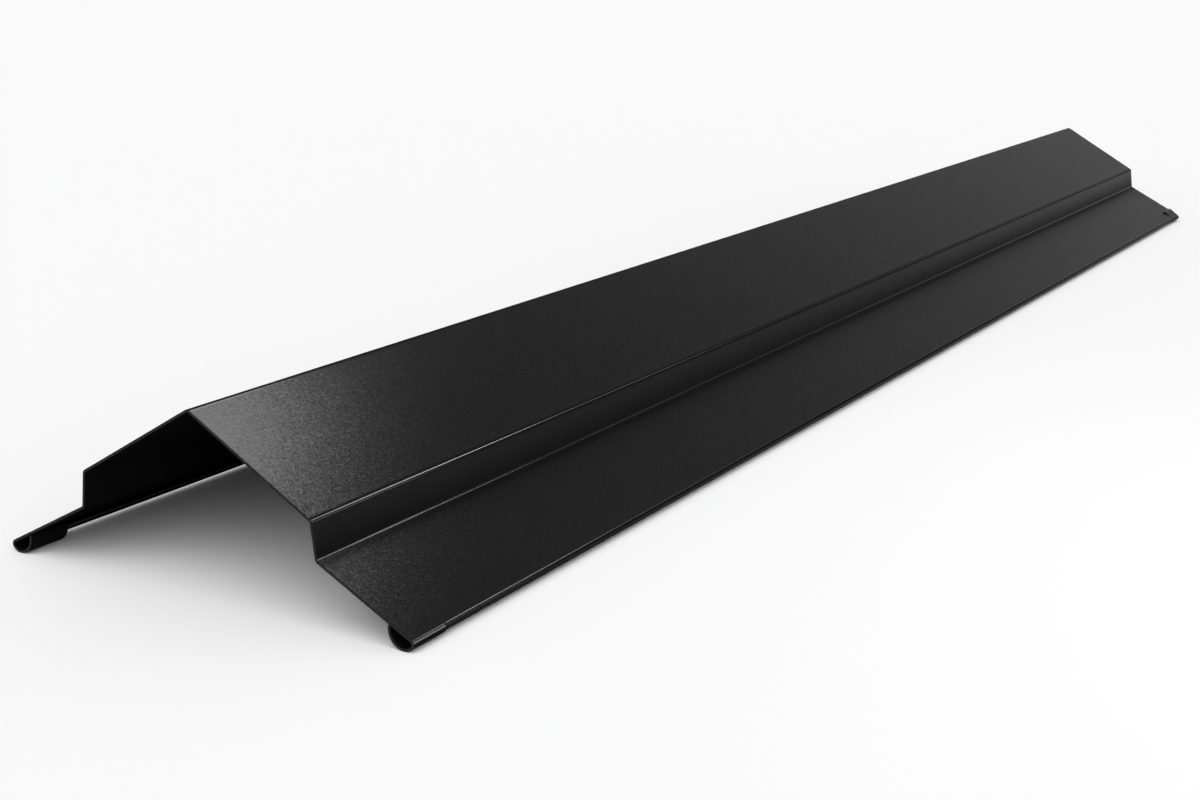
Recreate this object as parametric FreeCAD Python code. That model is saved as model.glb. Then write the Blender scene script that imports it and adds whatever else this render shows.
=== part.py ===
import FreeCAD
import Part

import os
from math import asin, atan2, cos, degrees, hypot, pi, radians, sin, sqrt, tan

# A roof ridge cap folded from one sheet of coated metal, in millimetres.
#
# The cap runs along X. Seen from an end it is a low tent: a wing falls from the ridge on each side, drops
# down a short riser, and goes on as a flange. The edge of each flange is folded under as a hem. The hem is
# pressed nearly closed along the cap and left open as a teardrop at both ends, where the next cap of the
# row hooks in. At the +X end a strip of the flange is also lanced free and lifted, so that the open hem
# there stands proud like a collar.
#
# An open hem is one curl of the sheet. From the flange it turns down over a brow and a cheek, with a narrow
# facet between them, rounds a wide belly, which stands on the floor, and ends in a lip that curls up to just
# under the flange.
#
# x is 0 at mid length, y is 0 under the ridge, and z is 0 at the four open hems that the cap stands on.

# Stock
length = 2000.0
sheet = 2.0
fold_inside_radius = 2.0

# Section: widths between the sharp corners of the sheet's middle plane, slopes in degrees
wing_width = 119.5
wing_slope = 30.0
riser_width = 27.3
riser_slope = 83.0
flange_width = 85.0
flange_slope = 27.5

# Hems
closed_hem_gap = 2.9
open_hem_length = 35.0
open_hem_corner = 5.5
relief_slit = 1.0

# Open hem: radii to the sheet's middle plane. The lip's place is the middle of its end.
brow_overhang = 0.3
brow_radius = 1.5
brow_turn = 38.0
brow_facet = 1.2
cheek_radius = 2.0
cheek_turn = 62.0
belly_radius = 8.8
belly_turn = 65.0
lip_inboard = 18.3
lip_below_flange = 0.8

# Lifted strip
lifted_width = 18.0
lift = 2.2
lift_ramp_slope = 45.0
lift_inside_radius = 1.0

half_sheet = sheet / 2.0
fold_radius = fold_inside_radius + half_sheet
lift_radius = lift_inside_radius + half_sheet
closed_hem_radius = (closed_hem_gap + sheet) / 2.0
near_end = -length / 2.0
far_end = length / 2.0


class Strip:
    # The sheet seen end on, followed outwards along its middle plane: straight runs joined by folds.
    # slope is in degrees below the horizontal, and positive turns go down.

    def __init__(self, y, z, slope):
        self.y, self.z, self.slope = y, z, slope
        self.top, self.under = [], []
        self.start = self.faces()

    def faces(self):
        # The points on the top and the underside at this place.
        return tuple(FreeCAD.Vector(0, self.y + h * sin(radians(self.slope)), self.z + h * cos(radians(self.slope)))
                     for h in (half_sheet, -half_sheet))

    def run(self, distance):
        before = self.faces()
        self.y += distance * cos(radians(self.slope))
        self.z -= distance * sin(radians(self.slope))
        after = self.faces()
        self.top.append(Part.LineSegment(before[0], after[0]).toShape())
        self.under.append(Part.LineSegment(before[1], after[1]).toShape())

    def fold(self, turn, radius):
        # Turns on an arc of that middle radius, with both faces on circles round the same centre.
        reach = radius if turn > 0 else -radius
        centre_y = self.y - reach * sin(radians(self.slope))
        centre_z = self.z - reach * cos(radians(self.slope))
        places = [self.faces()]
        for _ in range(2):
            self.slope += turn / 2.0
            self.y = centre_y + reach * sin(radians(self.slope))
            self.z = centre_z + reach * cos(radians(self.slope))
            places.append(self.faces())
        self.top.append(Part.Arc(*(place[0] for place in places)).toShape())
        self.under.append(Part.Arc(*(place[1] for place in places)).toShape())

    def solid(self, x_from, x_to):
        # The strip as it stands, from one place along the cap to another.
        end = self.faces()
        edges = self.top + self.under
        edges.append(Part.LineSegment(*self.start).toShape())
        edges.append(Part.LineSegment(*end).toShape())
        face = Part.Face(Part.Wire(Part.__sortEdges__(edges)))
        face.translate(FreeCAD.Vector(x_from, 0, 0))
        return face.extrude(FreeCAD.Vector(x_to - x_from, 0, 0))

    def onward(self):
        # A new strip that goes on from this one's end.
        return Strip(self.y, self.z, self.slope)


def setback(turn, radius):
    # How much of the flat beside a fold is taken by its arc.
    return radius * tan(radians(abs(turn)) / 2.0)


def closed_curl(strip, radius, tip_y, tip_z):
    # Folds the strip under on that middle radius until it points at the tip, and runs it there.
    centre_y = strip.y - radius * sin(radians(strip.slope))
    centre_z = strip.z - radius * cos(radians(strip.slope))
    leg = sqrt((tip_y - centre_y) ** 2 + (tip_z - centre_z) ** 2 - radius ** 2)
    final_slope = degrees(atan2(radius, leg) - atan2(tip_z - centre_z, tip_y - centre_y))
    turn = (final_slope - strip.slope) % 360.0
    strip.fold(turn, radius)
    strip.run(leg)


def brow(strip):
    # The flange's overhang, the first small fold and the facet of an open hem.
    strip.run(brow_overhang)
    strip.fold(brow_turn, brow_radius)
    strip.run(brow_facet)


def cheek_and_belly(strip):
    # The rest of an open hem but its lip, from wherever the strip meets the cheek.
    strip.fold(flange_slope + brow_turn + cheek_turn - strip.slope, cheek_radius)
    strip.fold(belly_turn, belly_radius)


def lip(strip, tip_y, tip_z):
    # One arc that goes on from the strip and ends at the tip. An arc turns through twice the angle between
    # its start and its chord.
    chord = hypot(tip_y - strip.y, tip_z - strip.z)
    aside = (degrees(atan2(strip.z - tip_z, tip_y - strip.y)) - strip.slope) % 360.0
    radius = chord / (2.0 * sin(radians(aside)))
    strip.fold(2.0 * aside, radius)
    return radians(2.0 * aside) * radius


def tip_place(edge, inboard, below):
    # A point given from the flange's outer edge: so far inboard along the flange, so far below its middle plane.
    slope = radians(edge.slope)
    return (edge.y - inboard * cos(slope) - below * sin(slope),
            edge.z + inboard * sin(slope) - below * cos(slope))


# The part of each half that runs the whole length: from the ridge out to the line where the strip is lanced.
# The height of the ridge is whatever puts the underside of the open hems at z = 0.
ridge_turn = wing_slope
shoulder_turn = riser_slope - wing_slope
foot_turn = flange_slope - riser_slope
outline_drop = (wing_width * sin(radians(wing_slope)) + riser_width * sin(radians(riser_slope))
                + flange_width * sin(radians(flange_slope)))
ridge_rounding = fold_radius * (1.0 / cos(radians(ridge_turn)) - 1.0)

# A trial curl from the height of the flange's edge. The belly is lowest where the sheet lies level on it.
trial = Strip(0.0, 0.0, flange_slope)
brow(trial)
cheek_and_belly(trial)
hem_drop = half_sheet - trial.z + belly_radius * (1.0 + cos(radians(trial.slope)))

main = Strip(0.0, outline_drop + hem_drop - ridge_rounding, 0.0)
main.fold(ridge_turn, fold_radius)
main.run(wing_width - setback(2.0 * ridge_turn, fold_radius) - setback(shoulder_turn, fold_radius))
main.fold(shoulder_turn, fold_radius)
main.run(riser_width - setback(shoulder_turn, fold_radius) - setback(foot_turn, fold_radius))
main.fold(foot_turn, fold_radius)
main.run(flange_width - lifted_width - setback(foot_turn, fold_radius))

# The flange's outer strip, flat, with no hem: what is left across a relief slit.
bare = main.onward()
bare.run(lifted_width)
edge = bare.onward()
lip_y, lip_z = tip_place(edge, lip_inboard, half_sheet + lip_below_flange)

# Open hem, flush on top.
open_hem = main.onward()
open_hem.run(lifted_width)
brow(open_hem)
cheek_and_belly(open_hem)
lip_arc = lip(open_hem, lip_y, lip_z)
hem_blank = (brow_overhang + radians(brow_turn) * brow_radius + brow_facet + radians(cheek_turn) * cheek_radius
             + radians(belly_turn) * belly_radius + lip_arc)

# Closed hem. The sheet's edge was straight before folding, so the closed hem uses the same width of sheet
# and reaches further inboard.
closed_hem = main.onward()
closed_hem.run(lifted_width)
closed_return = hem_blank - pi * closed_hem_radius
closed_curl(closed_hem, closed_hem_radius, *tip_place(edge, closed_return, 2.0 * closed_hem_radius))

# Open hem on the lifted strip: up a short ramp, then down along the tangent to the other open hem's cheek,
# so that both have the same belly and stand on the floor.
lifted = main.onward()
first_setback = setback(lift_ramp_slope, lift_radius)
ramp_foot = first_setback
ramp_top = ramp_foot + lift / tan(radians(lift_ramp_slope))
over_brow = edge.onward()
brow(over_brow)
cheek_centre_y = over_brow.y - cheek_radius * sin(radians(over_brow.slope))
cheek_centre_z = over_brow.z - cheek_radius * cos(radians(over_brow.slope))
top_y, top_z = tip_place(edge, lifted_width - ramp_top, -lift)
to_cheek = hypot(cheek_centre_y - top_y, cheek_centre_z - top_z)
strip_slope = degrees(atan2(top_z - cheek_centre_z, cheek_centre_y - top_y) - asin(cheek_radius / to_cheek))
top_turn = lift_ramp_slope + strip_slope - flange_slope
lifted.fold(-lift_ramp_slope, lift_radius)
lifted.run(lift / sin(radians(lift_ramp_slope)) - first_setback - setback(top_turn, lift_radius))
lifted.fold(top_turn, lift_radius)
lifted.run(sqrt(to_cheek ** 2 - cheek_radius ** 2) - setback(top_turn, lift_radius))
cheek_and_belly(lifted)
lip(lifted, lip_y, lip_z)


def rounded_corner_tool(inner_end, direction):
    # Takes the sharp lower corner off an open hem where it stops beside the relief slit. The rounding starts
    # a little under the hem, so that it meets the hem's round at an angle and not along a tangent.
    dip = open_hem_corner / 25.0
    reach = open_hem_length / 2.0
    outside = edge.y + 2.0 * belly_radius
    inside = edge.y - 2.0 * lip_inboard

    def at(back, up):
        return FreeCAD.Vector(inner_end - direction * back, inside, up - dip)

    first = at(open_hem_corner, 0.0)
    middle = at(open_hem_corner * (1.0 - sin(pi / 4.0)), open_hem_corner * (1.0 - cos(pi / 4.0)))
    last = at(0.0, open_hem_corner)
    beyond = relief_slit / 2.0
    edges = [Part.Arc(first, middle, last).toShape(),
             Part.LineSegment(last, at(-beyond, open_hem_corner)).toShape(),
             Part.LineSegment(at(-beyond, open_hem_corner), at(-beyond, -reach)).toShape(),
             Part.LineSegment(at(-beyond, -reach), at(open_hem_corner, -reach)).toShape(),
             Part.LineSegment(at(open_hem_corner, -reach), first).toShape()]
    face = Part.Face(Part.Wire(Part.__sortEdges__(edges)))
    return face.extrude(FreeCAD.Vector(0, outside - inside, 0))


near_open_to = near_end + open_hem_length
far_open_from = far_end - open_hem_length

near_hem = open_hem.solid(near_end, near_open_to).cut(rounded_corner_tool(near_open_to, 1.0))
far_hem = lifted.solid(far_open_from, far_end).cut(rounded_corner_tool(far_open_from, -1.0))
half = main.solid(near_end, far_end).fuse([
    near_hem,
    bare.solid(near_open_to, near_open_to + relief_slit),
    closed_hem.solid(near_open_to + relief_slit, far_open_from - relief_slit),
    far_hem,
])
cap = half.fuse(half.mirror(FreeCAD.Vector(0, 0, 0), FreeCAD.Vector(0, 1, 0))).removeSplitter()
cap = cap.Solids[0] if len(cap.Solids) == 1 else cap

os.makedirs("parts", exist_ok=True)
cap.exportStep("parts/ridge_cap_sheet.step")

box = cap.BoundBox
girth = 2.0 * (wing_width + riser_width + flange_width + hem_blank)
print("solids", len(cap.Solids), "valid", cap.isValid(), "faces", len(cap.Faces))
print("x %.2f to %.2f, y %.2f to %.2f, z %.3f to %.2f" % (box.XMin, box.XMax, box.YMin, box.YMax, box.ZMin, box.ZMax))
print("volume %.0f mm3, girth about %.0f mm, closed hem return %.1f mm, strip tilt %.1f degrees"
      % (cap.Volume, girth, closed_return, strip_slope - flange_slope))
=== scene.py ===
from math import asin, atan2, cos, degrees, hypot, pi, radians, sin, sqrt, tan

import bpy
import numpy as np
from mathutils import Matrix, Vector


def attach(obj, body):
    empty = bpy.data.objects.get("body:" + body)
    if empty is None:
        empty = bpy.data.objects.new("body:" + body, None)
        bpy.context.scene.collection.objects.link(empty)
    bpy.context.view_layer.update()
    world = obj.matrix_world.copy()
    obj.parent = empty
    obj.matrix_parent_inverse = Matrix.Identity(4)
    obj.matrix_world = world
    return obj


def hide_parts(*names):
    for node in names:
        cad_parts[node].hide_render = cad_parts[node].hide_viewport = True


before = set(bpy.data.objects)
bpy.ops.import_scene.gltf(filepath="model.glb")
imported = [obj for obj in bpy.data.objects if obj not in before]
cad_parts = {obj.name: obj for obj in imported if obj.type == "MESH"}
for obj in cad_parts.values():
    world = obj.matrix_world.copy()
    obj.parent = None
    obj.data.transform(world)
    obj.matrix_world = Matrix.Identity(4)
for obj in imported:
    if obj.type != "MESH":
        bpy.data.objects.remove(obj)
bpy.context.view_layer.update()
print("frame loaded:", sorted(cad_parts))

millimetre = 0.001


class Wire:
    # An output of a node. Arithmetic on it adds Math nodes to the same material.
    def __init__(self, shader, socket):
        self.shader, self.socket = shader, socket

    def worked(self, operation, first, second):
        return self.shader.node("ShaderNodeMath", {"operation": operation}, {0: first, 1: second})

    def __add__(self, other):
        return self.worked("ADD", self, other)

    def __sub__(self, other):
        return self.worked("SUBTRACT", self, other)

    def __rsub__(self, other):
        return self.worked("SUBTRACT", other, self)

    def __mul__(self, other):
        return self.worked("MULTIPLY", self, other)

    __radd__ = __add__
    __rmul__ = __mul__


class Shader:
    # A material's node tree, or the world's, built one call at a time.
    def __init__(self, holder):
        holder.use_nodes = True
        self.holder, self.tree = holder, holder.node_tree
        self.tree.nodes.clear()

    def node(self, kind, settings=None, inputs=None, output=0):
        # Any node: its type, its settings, which are set first, then its sockets' values or links.
        made = self.tree.nodes.new(kind)
        for name, value in (settings or {}).items():
            setattr(made, name, value)
        for name, value in (inputs or {}).items():
            if isinstance(value, Wire):
                self.tree.links.new(value.socket, made.inputs[name])
            else:
                made.inputs[name].default_value = value
        return Wire(self, made.outputs[output]) if made.outputs else None


def grey(level):
    # An opaque grey: the level three times.
    return (level, level, level, 1.0)


cameraView = {
    "place": (-1.82422, -0.81870, 0.44678),  # metres
    "heading": 58.946,                       # degrees from +Y towards +X
    "dip": 15.107,                           # degrees below the horizon
    "roll": 0.078,
    "lens": 52.553, "sensor": 36.0,          # millimetres
    "nearest": 0.01, "farthest": 200.0,      # metres, what it sees between
}


def buildCamera(view):
    # Tipped from straight down up to its dip, turned to its heading, and rolled about its line of sight.
    data = bpy.data.cameras.new("camera")
    data.sensor_fit, data.sensor_width, data.lens = "HORIZONTAL", view["sensor"], view["lens"]
    data.clip_start, data.clip_end = view["nearest"], view["farthest"]
    camera = bpy.data.objects.new("camera", data)
    turn = (Matrix.Rotation(-radians(view["heading"]), 4, "Z")
            @ Matrix.Rotation(pi / 2.0 - radians(view["dip"]), 4, "X")
            @ Matrix.Rotation(radians(view["roll"]), 4, "Z"))
    camera.matrix_world = Matrix.Translation(Vector(view["place"])) @ turn
    bpy.context.scene.collection.objects.link(camera)
    bpy.context.scene.camera = camera


buildCamera(cameraView)
print("camera placed")


sheetShape = {
    # millimetres and degrees, the same as the solid's, with the radii to the sheet's middle
    "length": 2000.0, "sheet": 2.0, "foldRadius": 3.0,
    "wingWidth": 119.5, "wingSlope": 30.0,
    "riserWidth": 27.3, "riserSlope": 83.0,
    "flangeWidth": 85.0, "flangeSlope": 27.5,
    "closedRadius": 2.45, "openLength": 35.0, "openCorner": 5.5, "slit": 1.0,
    "browOverhang": 0.3, "browRadius": 1.5, "browTurn": 38.0, "browFacet": 1.2,
    "cheekRadius": 2.0, "cheekTurn": 62.0, "bellyRadius": 8.8, "bellyTurn": 65.0,
    "lipInboard": 18.3, "lipBelowFlange": 0.8,
    "liftedWidth": 18.0, "lift": 2.2, "rampSlope": 45.0, "liftRadius": 2.0,
    # the mesh: rows in each flat, in each fold and in the parts of a hem, and the columns' spacing
    "wingSteps": 12, "riserSteps": 12, "flangeSteps": 28, "foldSteps": 12, "stripSteps": 24,
    "browSteps": (4, 8, 3), "cheekSteps": 10, "bellySteps": 10, "lipSteps": 14,
    "columnSpacing": 20.0, "endSpacing": 4.0, "fewestColumns": 4,
    # how high an open hem's rounded corner reaches, in its own radii
    "cornerReach": 0.96,
    # the cut edges' rounding and its segments, and from which angles an edge is rounded or shaded sharp
    "edgeRounding": 0.25, "edgeSegments": 2, "roundedAngle": 60.0, "sharpAngle": 40.0,
    # the coat: how much of it shines, 0 to 1. A fold smooths it this far along the sheet, and fully where
    # the sheet turns by this much in that distance. Past this slope it is a hem's side and takes the hem's
    # painted highlight and shade.
    "sheen": 0.56, "smoothReach": 2.0, "smoothTurn": 25.0, "hemSideSlope": 84.0,
    # painted light: beside the foot the sheen is cut as painted shade in the inner corner and on the riser's
    # lower part, and raised as a painted highlight on the riser's top
    # The sheen beside the foot and the shines below were fitted by measure to the photograph's
    # brightness from its one side. Millimetres from the foot, share of the usual sheen:
    "besideFootPaintedLight": ((-31.0, 1.0), (-29.0, 1.3), (-21.0, 1.2), (0.0, 0.35), (5.0, 0.35), (9.0, 0.7),
                  (17.0, 0.86), (28.0, 0.96), (45.0, 1.0)),
    # and in each fold: the sheet's slope, how much of the coat shines there. On the ridge this is painted
    # shade, a dark line; at the shoulder and the foot it paints a highlight line, with painted shade beside
    # it
    "ridgeFoldPaintedShade": ((12.0, 0.0), (26.0, 0.56)),
    "shoulderFoldPaintedLight": ((30.0, 0.3), (40.0, 0.2), (47.0, 0.7), (50.0, 0.9), (53.0, 0.9), (57.0, 0.08),
                      (66.0, 0.12), (80.0, 0.5)),
    "footFoldPaintedHighlight": ((48.0, 0.05), (57.0, 1.0)),
    # the hems: painted highlight lines along the crease, and on an open hem a second one, with painted shade
    # between them and under the hem
    "hemPaintedLight": {
        "open": ((28.0, 1.0), (36.0, 1.0), (43.0, 0.35), (50.0, 0.15), (60.0, 0.1), (65.0, 0.42),
                 (69.0, 0.1), (74.0, 0.03), (90.0, 0.15), (125.0, 0.1)),
        "closed": ((28.0, 1.0), (34.0, 1.0), (41.0, 0.5), (47.0, 0.05), (60.0, 0.08), (70.0, 0.15),
                   (80.0, 0.7), (98.0, 0.6), (118.0, 0.0)),
        "lifted": ((28.0, 1.0), (34.0, 1.0), (41.0, 0.5), (47.0, 0.05), (60.0, 0.08), (70.0, 0.15),
                   (80.0, 0.5), (98.0, 0.5), (118.0, 0.0)),
    },
}


def runRows(y, z, slope, distance, steps):
    # Rows along a straight run: the point moves by the distance in the direction of the slope. Rows crowd
    # towards both ends, as (1 - cos(pi t)) / 2 does, so that smooth shading keeps the flat flat.
    t = (1.0 - np.cos(pi * np.arange(1, steps + 1) / steps)) / 2.0
    a = radians(slope)
    return y + distance * t * cos(a), z - distance * t * sin(a), np.full(steps, slope)


def foldRows(y, z, slope, turn, radius, steps):
    # Rows round a fold: points on a circle of the middle radius, whose centre lies below the sheet where
    # the fold turns down and above it where it turns up. The slope grows evenly with the arc.
    reach = radius if turn > 0 else -radius
    slopes = slope + turn * np.arange(1, steps + 1) / steps
    a, b = radians(slope), np.radians(slopes)
    return y + reach * (np.sin(b) - sin(a)), z + reach * (np.cos(b) - cos(a)), slopes


def walk(start, moves):
    # Carries a point along runs and folds, outwards from its start, and keeps every row on the way.
    rows = [tuple(np.array([value]) for value in start)]
    for move in moves:
        last = tuple(float(column[-1]) for column in rows[-1])
        rows.append((runRows if len(move) == 2 else foldRows)(*last, *move))
    return np.concatenate([np.stack(row) for row in rows], axis=1)


def setback(turn, radius):
    # From a bend's sharp corner to where its arc begins: the radius times the tangent of half the turn.
    return radius * tan(radians(abs(turn)) / 2.0)


def moveLength(move):
    # A run's own length, or a fold's: its turn in radians times its radius.
    return move[0] if len(move) == 2 else abs(radians(move[0])) * move[1]


def browMoves(shape):
    # The brow of an open hem: a little straight on, round its fold, and down its narrow facet.
    overhang, turn, facet = shape["browSteps"]
    return [(shape["browOverhang"], overhang), (shape["browTurn"], shape["browRadius"], turn),
            (shape["browFacet"], facet)]


def bellyMoves(shape, slope, cheekSteps):
    # From wherever the strip meets the cheek: the cheek, which turns by what is left up to the cheek's last
    # slope, then the belly that stands on the floor.
    cheekTurn = shape["flangeSlope"] + shape["browTurn"] + shape["cheekTurn"] - slope
    return [(cheekTurn, shape["cheekRadius"], cheekSteps),
            (shape["bellyTurn"], shape["bellyRadius"], shape["bellySteps"])]


def lipMove(start, tip, steps):
    # One arc from the start to the tip. It turns through twice the angle between its start and its chord,
    # and its radius is the chord over twice the sine of that angle.
    y, z, slope = start
    aside = (degrees(atan2(z - tip[1], tip[0] - y)) - slope) % 360.0
    return (2.0 * aside, hypot(tip[0] - y, tip[1] - z) / (2.0 * sin(radians(aside))), steps)


def closedMoves(start, radius, tip, steps):
    # The closed hem's fold and leg. The leg is the tangent from the tip to the fold's circle, so its length
    # is the third side of the right triangle whose others are the radius and the way from centre to tip.
    y, z, slope = start
    toTip = (tip[0] - y + radius * sin(radians(slope)), tip[1] - z + radius * cos(radians(slope)))
    leg = sqrt(toTip[0] ** 2 + toTip[1] ** 2 - radius ** 2)
    turn = (degrees(atan2(radius, leg) - atan2(toTip[1], toTip[0])) - slope) % 360.0
    return [(turn, radius, steps // 2), (leg, steps - steps // 2)]


def sheetRows(shape):
    # Half of the sheet, seen end on, as rows of (y, z, slope): one array for each kind of edge.
    fold, steps, strip = shape["foldRadius"], shape["foldSteps"], shape["stripSteps"]
    # a hem of any kind has the same rows: to the end of the cheek, and in all
    toBelly = sum(shape["browSteps"]) + shape["cheekSteps"]
    hemSteps = toBelly + shape["bellySteps"] + shape["lipSteps"]
    shoulder, foot = shape["riserSlope"] - shape["wingSlope"], shape["flangeSlope"] - shape["riserSlope"]
    drop = sum(shape[flat + "Width"] * sin(radians(shape[flat + "Slope"]))
               for flat in ("wing", "riser", "flange"))
    # a trial curl from height 0 tells how far the belly hangs below the flange's edge
    browEnd = shape["flangeSlope"] + shape["browTurn"]
    beforeMoves = browMoves(shape) + bellyMoves(shape, browEnd, shape["cheekSteps"])
    _, beforeLip, beforeSlope = walk((0.0, 0.0, shape["flangeSlope"]), beforeMoves)[:, -1]
    hemDrop = shape["sheet"] / 2.0 - beforeLip + shape["bellyRadius"] * (1.0 + cos(radians(beforeSlope)))
    # the sharp peak's height, less what the ridge's fold cuts off it: the walk starts halfway round it
    ridge = drop + hemDrop - fold * (1.0 / cos(radians(shape["wingSlope"])) - 1.0)
    main = walk((0.0, ridge, 0.0), [
        (shape["wingSlope"], fold, steps),
        (shape["wingWidth"] - setback(2.0 * shape["wingSlope"], fold) - setback(shoulder, fold),
         shape["wingSteps"]),
        (shoulder, fold, steps),
        (shape["riserWidth"] - setback(shoulder, fold) - setback(foot, fold), shape["riserSteps"]),
        (foot, fold, steps),
        (shape["flangeWidth"] - shape["liftedWidth"] - setback(foot, fold), shape["flangeSteps"]),
    ])
    lance = tuple(main[:, -1])
    flat = walk(lance, [(shape["liftedWidth"], strip)])
    edge = tuple(flat[:, -1])
    a = radians(shape["flangeSlope"])

    def inFlange(inboard, below):
        # A place given along the flange, inboard of its edge, and square to it, below its middle.
        return (edge[0] - inboard * cos(a) - below * sin(a), edge[1] + inboard * sin(a) - below * cos(a))

    def curled(start, before):
        # An open hem from its start: the moves before the lip, then the lip.
        tip = inFlange(shape["lipInboard"], shape["sheet"] / 2.0 + shape["lipBelowFlange"])
        return before + [lipMove(tuple(walk(start, before)[:, -1]), tip, shape["lipSteps"])]

    openMoves = curled(edge, beforeMoves)
    # the closed hem's leg is as long as makes both hems the same strip of sheet
    closedReturn = sum(moveLength(move) for move in openMoves) - pi * shape["closedRadius"]
    closedTip = inFlange(closedReturn, 2.0 * shape["closedRadius"])
    hemMoves = closedMoves(edge, shape["closedRadius"], closedTip, hemSteps)

    # The lifted strip: up a ramp, then down along the tangent to the open hem's own cheek.
    overBrow = walk(edge, browMoves(shape))[:, -1]
    cheek = (overBrow[0] - shape["cheekRadius"] * sin(radians(overBrow[2])),
             overBrow[1] - shape["cheekRadius"] * cos(radians(overBrow[2])))
    rampSetback = setback(shape["rampSlope"], shape["liftRadius"])
    rampWidth = shape["lift"] / tan(radians(shape["rampSlope"]))
    top = inFlange(shape["liftedWidth"] - rampSetback - rampWidth, -shape["lift"])
    toCheek = hypot(cheek[0] - top[0], cheek[1] - top[1])
    stripSlope = degrees(atan2(top[1] - cheek[1], cheek[0] - top[0]) - asin(shape["cheekRadius"] / toCheek))
    topTurn = shape["rampSlope"] + stripSlope - shape["flangeSlope"]
    topSetback = setback(topTurn, shape["liftRadius"])
    quarter = strip // 4
    lifted = walk(lance, [
        (-shape["rampSlope"], shape["liftRadius"], quarter),
        (shape["lift"] / sin(radians(shape["rampSlope"])) - rampSetback - topSetback, quarter),
        (topTurn, shape["liftRadius"], quarter),
        (sqrt(toCheek ** 2 - shape["cheekRadius"] ** 2) - topSetback, quarter),
    ])
    fromLifted = tuple(lifted[:, -1])
    liftedMoves = curled(fromLifted, bellyMoves(shape, fromLifted[2], toBelly))
    outer = {
        "open": np.hstack([flat, walk(edge, openMoves)[:, 1:]]),
        "closed": np.hstack([flat, walk(edge, hemMoves)[:, 1:]]),
        "lifted": np.hstack([lifted, walk(fromLifted, liftedMoves)[:, 1:]]),
    }
    rows = {kind: np.hstack([main, part[:, 1:]]) for kind, part in outer.items()}
    # which rows each fold has, with the rows of the flats between
    shoulderRow = steps + shape["wingSteps"]
    footRow = shoulderRow + steps + shape["riserSteps"]
    folds = {"ridgeFoldPaintedShade": (0, steps), "shoulderFoldPaintedLight": (shoulderRow, shoulderRow + steps + 1),
             "footFoldPaintedHighlight": (footRow, footRow + steps + 1)}
    lanceRow = main.shape[1] - 1
    return rows, folds, lanceRow, lanceRow + strip


def eased(share):
    # From 0 to 1 with a level start and end: three times the square less twice the cube.
    share = np.clip(share, 0.0, 1.0)
    return share * share * (3.0 - 2.0 * share)


def coatAndPaintedLightRows(rows, shape, kind, folds, edgeRow):
    # How much each row shines, and how grainy it is. The coat is smoother in a fold: by the turn along one
    # reach of sheet, centred on the row, over the turn that smooths it fully, eased. The folds' and hems'
    # shines are painted highlight lines and painted shade, and beside the foot the sheen is painted shade in
    # the corner and a painted highlight on the riser's top.
    y, z, slope = rows
    along = np.concatenate([[0.0], np.cumsum(np.hypot(np.diff(y), np.diff(z)))])
    before, after = (np.interp(along + side * shape["smoothReach"] / 2.0, along, slope)
                     for side in (-1.0, 1.0))
    smooth = eased(np.abs(after - before) / shape["smoothTurn"])
    shineAndPaintedLight = np.full_like(slope, shape["sheen"])
    # painted highlight lines and painted shade in each fold and hem
    for name, (first, last) in folds.items():
        shineAndPaintedLight[first:last] = np.interp(slope[first:last], *zip(*shape[name]))
    shineAndPaintedLight[edgeRow - 1:] = np.interp(slope[edgeRow - 1:], *zip(*shape["hemPaintedLight"][kind]))
    # painted shade in the inner corner at the foot and a painted highlight on the riser's top
    fromFoot = along - along[sum(folds["footFoldPaintedHighlight"]) // 2]
    flat = shape["sheen"] * np.interp(fromFoot, *zip(*shape["besideFootPaintedLight"]))
    flat = np.where(slope > shape["hemSideSlope"], shineAndPaintedLight, flat)
    return flat * (1.0 - smooth) + shineAndPaintedLight * smooth, 1.0 - smooth


def columnPlaces(low, high, spacing, fewest):
    # Even steps from low to high, as near to the spacing as whole steps allow, and never too few.
    return np.linspace(low, high, max(fewest, int(round((high - low) / spacing)) + 1))


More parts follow.
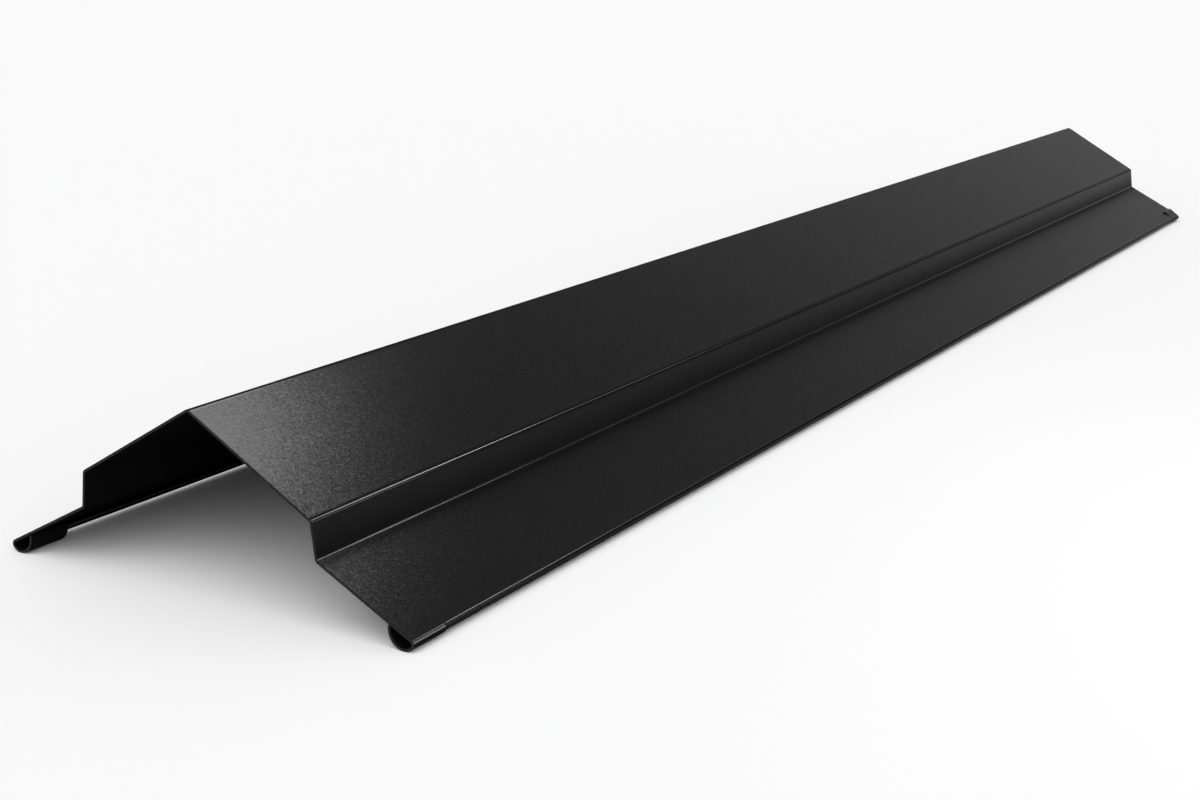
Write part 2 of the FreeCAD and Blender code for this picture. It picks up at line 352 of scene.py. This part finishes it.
def buildSheet(shape):
    # The sheet as two skins of one grid. Columns are places along the cap, rows go from one lip over the
    # ridge to the other. A skin's point is the middle point plus or minus half the thickness along the
    # row's normal, which is (sin slope, cos slope). Cells are missing across the relief slits, and a wall
    # closes every edge between the skins.
    rows, folds, lanceRow, edgeRow = sheetRows(shape)
    half, opening, slit = shape["length"] / 2.0, shape["openLength"], shape["slit"]
    spans = [("open", -half, -half + opening, "endSpacing"),
             ("closed", -half + opening + slit, half - opening - slit, "columnSpacing"),
             ("lifted", half - opening, half, "endSpacing")]
    zones = [(kind, columnPlaces(low, high, shape[spacing], shape["fewestColumns"]))
             for kind, low, high, spacing in spans]
    halfRows = rows["open"].shape[1]
    rowCount = 2 * halfRows - 1
    skins, coat = [[], []], {"sheen": [], "grainShare": []}
    for kind, places in zones:
        y, z, slope = rows[kind]
        for kept, values in zip(coat.values(), coatAndPaintedLightRows(rows[kind], shape, kind, folds, edgeRow)):
            kept.append(np.tile(np.concatenate([values[:0:-1], values]), len(places)))
        normalY, normalZ = np.sin(np.radians(slope)), np.cos(np.radians(slope))
        y, normalY = (np.concatenate([-part[:0:-1], part]) for part in (y, normalY))
        z, normalZ = (np.concatenate([part[:0:-1], part]) for part in (z, normalZ))
        x = np.repeat(places[:, None], rowCount, axis=1)
        if kind != "closed":
            # The inner lower corner of an open hem is rounded: where a row is lower than the corner
            # reaches, it stops short by radius times (1 - sqrt(1 - depth^2)), depth in radii.
            depth = np.clip((shape["openCorner"] * shape["cornerReach"] - z) / shape["openCorner"], 0.0, 1.0)
            short = shape["openCorner"] * (1.0 - np.sqrt(1.0 - depth ** 2))
            share = (places - places[0]) / opening if kind == "open" else (places[-1] - places) / opening
            x = x - np.outer(share, short) * (1.0 if kind == "open" else -1.0)
        for skin, side in zip(skins, (1.0, -1.0)):
            offset = side * shape["sheet"] / 2.0
            skin.append(np.stack([x, np.broadcast_to(y + offset * normalY, x.shape),
                                  np.broadcast_to(z + offset * normalZ, x.shape)], axis=-1))
    points = np.concatenate([np.concatenate(skin).reshape(-1, 3) for skin in skins]) * millimetre
    columnCount = sum(len(places) for _, places in zones)

    # which cells there are: across a slit only the rows inside the cut
    cells = np.ones((columnCount - 1, rowCount - 1), bool)
    fromRidge = np.abs(np.arange(rowCount - 1) + 0.5 - (halfRows - 1))
    nearGap = len(zones[0][1]) - 1
    farGap = nearGap + len(zones[1][1])
    cells[nearGap] = fromRidge < edgeRow
    cells[farGap] = fromRidge < lanceRow
    index = np.arange(columnCount * rowCount).reshape(columnCount, rowCount)
    under = columnCount * rowCount
    corners = np.stack([index[:-1, :-1], index[1:, :-1], index[1:, 1:], index[:-1, 1:]], axis=-1)
    top = corners[cells]
    faces = [top, top[:, ::-1] + under]
    skinFaces = 2 * len(top)
    padded = np.pad(cells, 1)
    # a wall wherever a cell has no neighbour on that side of its corners a and b
    beside = {(0, 1): padded[1:-1, :-2], (1, 2): padded[2:, 1:-1],
              (2, 3): padded[1:-1, 2:], (3, 0): padded[:-2, 1:-1]}
    for (a, b), neighbour in beside.items():
        bare = corners[cells & ~neighbour]
        faces.append(np.stack([bare[:, b], bare[:, a], bare[:, a] + under, bare[:, b] + under], axis=-1))
    faces = np.concatenate(faces)

    mesh = bpy.data.meshes.new("ridgeCap")
    mesh.vertices.add(len(points))
    mesh.vertices.foreach_set("co", points.ravel())
    mesh.loops.add(faces.size)
    mesh.loops.foreach_set("vertex_index", faces.ravel())
    mesh.polygons.add(len(faces))
    mesh.polygons.foreach_set("loop_start", np.arange(0, faces.size, 4))
    mesh.update(calc_edges=True)
    mesh.validate()
    for name, values in coat.items():
        values = np.concatenate(values)
        # the upper skin, then the lower one, which has no sheen: painted shade, so the underside shows no
        # reflection and stays near black
        values = np.concatenate([values, values if name == "grainShare" else np.zeros_like(values)])
        mesh.attributes.new(name, "FLOAT", "POINT").data.foreach_set("value", values)
    cut = mesh.attributes.new("cutShare", "FLOAT", "FACE")
    cut.data.foreach_set("value", np.arange(len(faces)) >= skinFaces)
    mesh.polygons.foreach_set("use_smooth", np.ones(len(mesh.polygons), bool))
    mesh.set_sharp_from_angle(angle=radians(shape["sharpAngle"]))
    sheet = bpy.data.objects.new("ridgeCap", mesh)
    bpy.context.scene.collection.objects.link(sheet)
    rounding = sheet.modifiers.new("cut edges", "BEVEL")
    rounding.width, rounding.segments = shape["edgeRounding"] * millimetre, shape["edgeSegments"]
    rounding.limit_method, rounding.angle_limit = "ANGLE", radians(shape["roundedAngle"])
    rounding.use_clamp_overlap, rounding.harden_normals = False, False
    return sheet


ridgeCap = buildSheet(sheetShape)
print("sheet built:", len(ridgeCap.data.polygons), "faces")


coating = {
    "colour": 0.0040, "ior": 1.13,
    "roughness": 0.235, "foldRoughness": 0.15,  # on the flats and where a fold has smoothed it
    # broad patches: millimetres across, how much rougher or smoother they are, and their noise
    "patch": 180.0, "roughnessSpread": 0.01, "patchDetail": 1.0, "patchRoughness": 0.6,
    # the grain: millimetres across, how unevenly it shines, and how much of a lean its normal gets
    "grain": 0.9, "grainSheen": 0.5, "grainLean": 0.055,
    "luminance": (0.2126729, 0.7151522, 0.0721750),  # red, green and blue in a colour's brightness
    "cutColour": 0.016, "cutSheen": 0.5,
}


def buildCoating(values):
    # A coat like baked powder: near black, with a fine grain about a millimetre across. Each grain shines
    # more or less than the next and leans its own way. The sheen is a glossy layer mixed over a matte one.
    # The cut edges are greyer. How much of the glossy layer shows comes from the mesh's sheen share, which
    # holds painted highlight lines in the folds and hems, and painted shade on the ridge, by the foot and
    # underneath.
    shader = Shader(bpy.data.materials.new("blackPowderCoat"))
    place = shader.node("ShaderNodeTexCoord", output="Object")

    def share(name):
        return shader.node("ShaderNodeAttribute", {"attribute_name": name}, output="Fac")

    def vector(operation, inputs, output="Vector"):
        return shader.node("ShaderNodeVectorMath", {"operation": operation}, inputs, output)

    patch = shader.node("ShaderNodeTexNoise", {}, {
        "Vector": place, "Scale": 1.0 / (values["patch"] * millimetre),
        "Detail": values["patchDetail"], "Roughness": values["patchRoughness"]})
    grain = shader.node("ShaderNodeTexVoronoi", {}, {
        "Vector": place, "Scale": 1.0 / (values["grain"] * millimetre)}, output="Color")
    # the sheen share carries painted highlights and painted shade from the mesh
    sheen, grainShare, cut = share("sheen"), share("grainShare"), share("cutShare")
    # each grain leans its own way: the sheet's normal plus a random vector, made one unit long again
    aside = vector("SUBTRACT", {0: grain, 1: (0.5, 0.5, 0.5)})
    lean = vector("SCALE", {0: aside, "Scale": grainShare * values["grainLean"]})
    normal = vector("NORMALIZE", {0: vector("ADD", {
        0: shader.node("ShaderNodeNewGeometry", output="Normal"), 1: lean})})
    colour = shader.node("ShaderNodeMix", {"data_type": "RGBA"}, {
        "Factor": cut, "A": grey(values["colour"]), "B": grey(values["cutColour"])}, output="Result")
    roughness = ((patch - 0.5) * (2.0 * values["roughnessSpread"])
                 + grainShare * (values["roughness"] - values["foldRoughness"]) + values["foldRoughness"])
    matte = shader.node("ShaderNodeBsdfPrincipled", {}, {
        "Base Color": colour, "Normal": normal, "Roughness": 1.0, "IOR": 1.0}, output="BSDF")
    glossy = shader.node("ShaderNodeBsdfPrincipled", {}, {
        "Base Color": colour, "Normal": normal, "Roughness": roughness, "IOR": values["ior"]}, output="BSDF")
    # how bright a grain's random colour is gives how much it shines
    bright = vector("DOT_PRODUCT", {0: grain, 1: values["luminance"]}, output="Value")
    grained = sheen * ((bright - 0.5) * grainShare * values["grainSheen"] + 1.0)
    factor = grained * (1.0 - cut) + cut * values["cutSheen"]
    surface = shader.node("ShaderNodeMixShader", {}, {0: factor, 1: matte, 2: glossy})
    shader.node("ShaderNodeOutputMaterial", {}, {"Surface": surface})
    return shader.holder


ridgeCap.data.materials.append(buildCoating(coating))
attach(ridgeCap, "root")
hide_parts("ridge_cap_sheet")
print("coating made")


studio = {
    "floorColour": 0.93, "floorRoughness": 0.9, "floorSpecular": 0.1, "floorSize": 60.0,  # metres
    "worldLight": 0.425, "background": 0.97,
    # the key light, wide and even: where it comes from, how wide it is in degrees, its strength
    "key": ((-1.3, -0.8, 1.0), 100.0, 3.3),
    "softboxes": {
        # each is seen only in reflections: place, what it points at, size across and down, radiance
        "nearSoftbox": ((0.20, 0.11, 1.44), (-0.95, 0.0, 0.1), 0.32, 0.30, 54.0),
        "foldSoftbox": ((-0.15, -0.55, 0.58), (-0.95, -0.1, 0.06), 0.30, 0.30, 55.0),
        "farFoldSoftbox": ((0.35, -0.55, 0.58), (-0.70, -0.1, 0.06), 0.30, 0.30, 5.0),
        "lowSoftbox": ((-0.25, -0.84, 0.20), (-0.95, -0.15, 0.03), 0.30, 0.18, 52.0),
    },
}


def buildFloor(values):
    # One level square at height 0, centred under the part.
    shader = Shader(bpy.data.materials.new("paleFloor"))
    surface = shader.node("ShaderNodeBsdfPrincipled", {}, {
        "Base Color": grey(values["floorColour"]), "Roughness": values["floorRoughness"],
        "Specular IOR Level": values["floorSpecular"]})
    shader.node("ShaderNodeOutputMaterial", {}, {"Surface": surface})
    far = values["floorSize"] / 2.0
    mesh = bpy.data.meshes.new("floor")
    corners = [(-far, -far, 0.0), (far, -far, 0.0), (far, far, 0.0), (-far, far, 0.0)]
    mesh.from_pydata(corners, [], [(0, 1, 2, 3)])
    mesh.materials.append(shader.holder)
    floor = bpy.data.objects.new("floor", mesh)
    bpy.context.scene.collection.objects.link(floor)


def buildWorld(values):
    # The pale background is what the camera sees and what the sheet mirrors. The light from all round is
    # dimmer for everything else, so that the floor keeps its shadow.
    world = bpy.data.worlds.new("studio")
    bpy.context.scene.world = world
    shader = Shader(world)
    path = shader.node("ShaderNodeLightPath", output="Is Camera Ray")
    outputs = path.socket.node.outputs
    glossy, through = (Wire(shader, outputs[name]) for name in ("Is Glossy Ray", "Is Transmission Ray"))
    shown = path + glossy + through
    strength = shown * (values["background"] - values["worldLight"]) + values["worldLight"]
    light = shader.node("ShaderNodeBackground", {}, {"Color": grey(1.0), "Strength": strength})
    shader.node("ShaderNodeOutputWorld", {}, {"Surface": light})


def buildKey(towards, width, strength):
    # A broad sun that shines from the given direction towards the middle.
    data = bpy.data.lights.new("key", "SUN")
    data.angle, data.energy = radians(width), strength
    key = bpy.data.objects.new("key", data)
    key.rotation_euler = (-Vector(towards)).to_track_quat("-Z", "Y").to_euler()
    bpy.context.scene.collection.objects.link(key)


def buildSoftbox(name, place, target, width, height, radiance):
    # A lamp with a flat face that points at its target.
    data = bpy.data.lights.new(name, "AREA")
    data.shape, data.size, data.size_y = "RECTANGLE", width, height
    data.energy = radiance * pi * width * height  # a flat lamp's power for that radiance
    lamp = bpy.data.objects.new(name, data)
    lamp.location = place
    lamp.rotation_euler = (Vector(target) - Vector(place)).to_track_quat("-Z", "Y").to_euler()
    lamp.visible_diffuse = lamp.visible_camera = False
    bpy.context.scene.collection.objects.link(lamp)


buildFloor(studio)
buildWorld(studio)
buildKey(*studio["key"])
for softboxName, softboxValues in studio["softboxes"].items():
    buildSoftbox(softboxName, *softboxValues)
bpy.context.scene.view_settings.view_transform = "Standard"
print("studio built")
